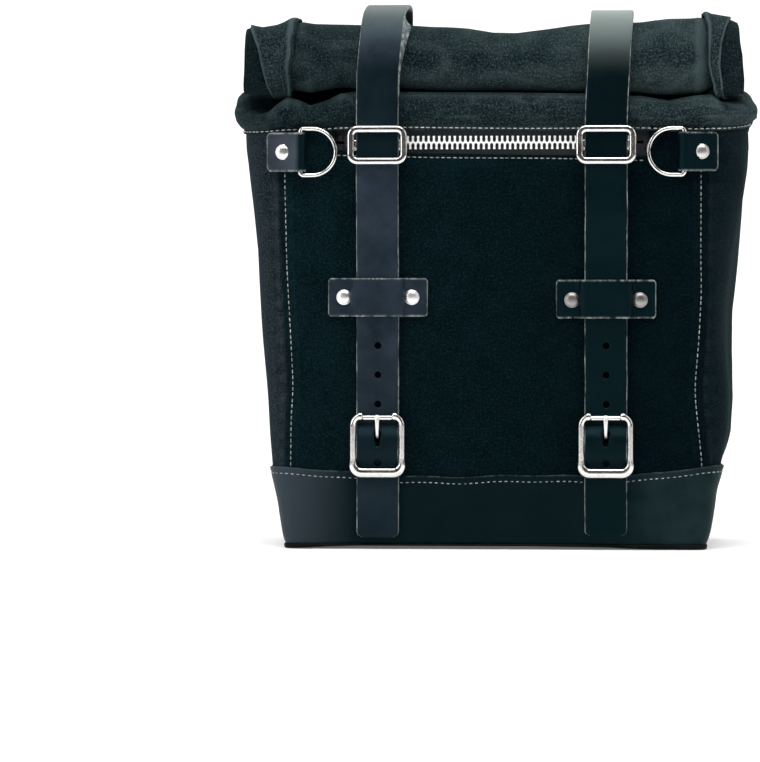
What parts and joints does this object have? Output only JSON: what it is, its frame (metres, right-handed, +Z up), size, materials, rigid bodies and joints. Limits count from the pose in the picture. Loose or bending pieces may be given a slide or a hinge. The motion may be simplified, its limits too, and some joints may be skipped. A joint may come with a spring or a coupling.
{
  "type": "pannier bag",
  "caption": "Tall tapered roll-top canvas side bag with a zipped front pocket, leather foot, buckled leather closure straps and leather loops for a tube rack.",
  "frame": {"origin": "centre of the underside of the sole, where the bag stands", "axes": "+Z up, +X to the right as one faces the front of the bag, +Y towards the rack behind the bag, so the front faces -Y"},
  "size_m": [0.326, 0.1608, 0.348],
  "materials": {
    "canvas": "waxed cotton canvas",
    "lining": "coated lining cloth",
    "leather": "smooth waxed leather",
    "sole": "matt",
    "board": "smooth HDPE sheet",
    "tape": "woven tape",
    "zip_metal": "polished nickel",
    "nickel": "polished nickel"
  },
  "bodies": {
    "bag": {"back_board": "board", "back_panel": "canvas", "back_yoke": "leather", "base_board": "board", "base_boot": "leather", "base_sole": "sole", "bottom_panel": "canvas", "buckle_chape_left": "leather", "buckle_chape_right": "leather", "buckle_frame_left": "nickel", "buckle_frame_right": "nickel", "closure_strap_left": "leather", "closure_strap_right": "leather", "d_ring_rivets": "nickel", "d_ring_tab_left": "leather", "d_ring_tab_right": "leather", "front_wall": "lining", "inner_liner": "lining", "keeper_rivets": "nickel", "lower_patch": "leather", "neck_canvas": "canvas", "neck_fold_left": "canvas", "neck_fold_right": "canvas", "pocket_panel": "canvas", "rack_loop_left": "leather", "rack_loop_lower": "leather", "rack_loop_right": "leather", "rack_loop_rivets": "nickel", "roll_stay": "board", "roll_top": "canvas", "shoulder_panel": "canvas", "side_gusset_left": "canvas", "side_gusset_right": "canvas", "strap_anchor_rivets": "nickel", "strap_keeper_left": "leather", "strap_keeper_right": "leather", "zip_end_stops": "zip_metal", "zip_tape_lower": "tape", "zip_tape_upper": "tape", "zip_teeth_lower": "zip_metal", "zip_teeth_upper": "zip_metal"},
    "zip_slider": {"zip_slider": "zip_metal"},
    "zip_pull": {"zip_pull": "zip_metal"},
    "d_ring_left": {"d_ring_left": "nickel"},
    "d_ring_right": {"d_ring_right": "nickel"},
    "strap_slide_left": {"strap_slide_left": "nickel"},
    "strap_slide_right": {"strap_slide_right": "nickel"},
    "buckle_prong_left": {"buckle_prong_left": "nickel"},
    "buckle_prong_right": {"buckle_prong_right": "nickel"},
    "buckle_roller_left": {"buckle_roller_left": "nickel"},
    "buckle_roller_right": {"buckle_roller_right": "nickel"}
  },
  "joints": [
    {"name": "zip_slider_travel", "type": "slide", "parent": "bag", "child": "zip_slider", "axis": [1, 0, 0], "range_m": [0, 0.17]},
    {"name": "zip_pull_swing", "type": "hinge", "parent": "zip_slider", "child": "zip_pull", "pos_m": [-0.0815, -0.0639, 0.2589], "axis": [0, 1, 0], "range_deg": [-80, 80]},
    {"name": "d_ring_left_swing", "type": "hinge", "parent": "bag", "child": "d_ring_left", "pos_m": [-0.122, -0.0666, 0.2528], "axis": [0, 0, -1], "range_deg": [0, 150]},
    {"name": "d_ring_right_swing", "type": "hinge", "parent": "bag", "child": "d_ring_right", "pos_m": [0.122, -0.0666, 0.2528], "axis": [0, 0, 1], "range_deg": [0, 150]},
    {"name": "strap_slide_left_travel", "type": "slide", "parent": "bag", "child": "strap_slide_left", "axis": [0, 0, 1], "range_m": [-0.028, 0.01]},
    {"name": "strap_slide_right_travel", "type": "slide", "parent": "bag", "child": "strap_slide_right", "axis": [0, 0, 1], "range_m": [-0.028, 0.01]},
    {"name": "prong_left_lift", "type": "hinge", "parent": "bag", "child": "buckle_prong_left", "pos_m": [-0.0726, -0.0656, 0.0663], "axis": [1, 0, 0], "range_deg": [0, 30]},
    {"name": "prong_right_lift", "type": "hinge", "parent": "bag", "child": "buckle_prong_right", "pos_m": [0.0726, -0.0656, 0.0663], "axis": [1, 0, 0], "range_deg": [0, 30]},
    {"name": "roller_left_spin", "type": "hinge", "parent": "bag", "child": "buckle_roller_left", "pos_m": [-0.0726, -0.0699, 0.0837], "axis": [1, 0, 0], "continuous": true},
    {"name": "roller_right_spin", "type": "hinge", "parent": "bag", "child": "buckle_roller_right", "pos_m": [0.0726, -0.0699, 0.0837], "axis": [1, 0, 0], "continuous": true}
  ]
}
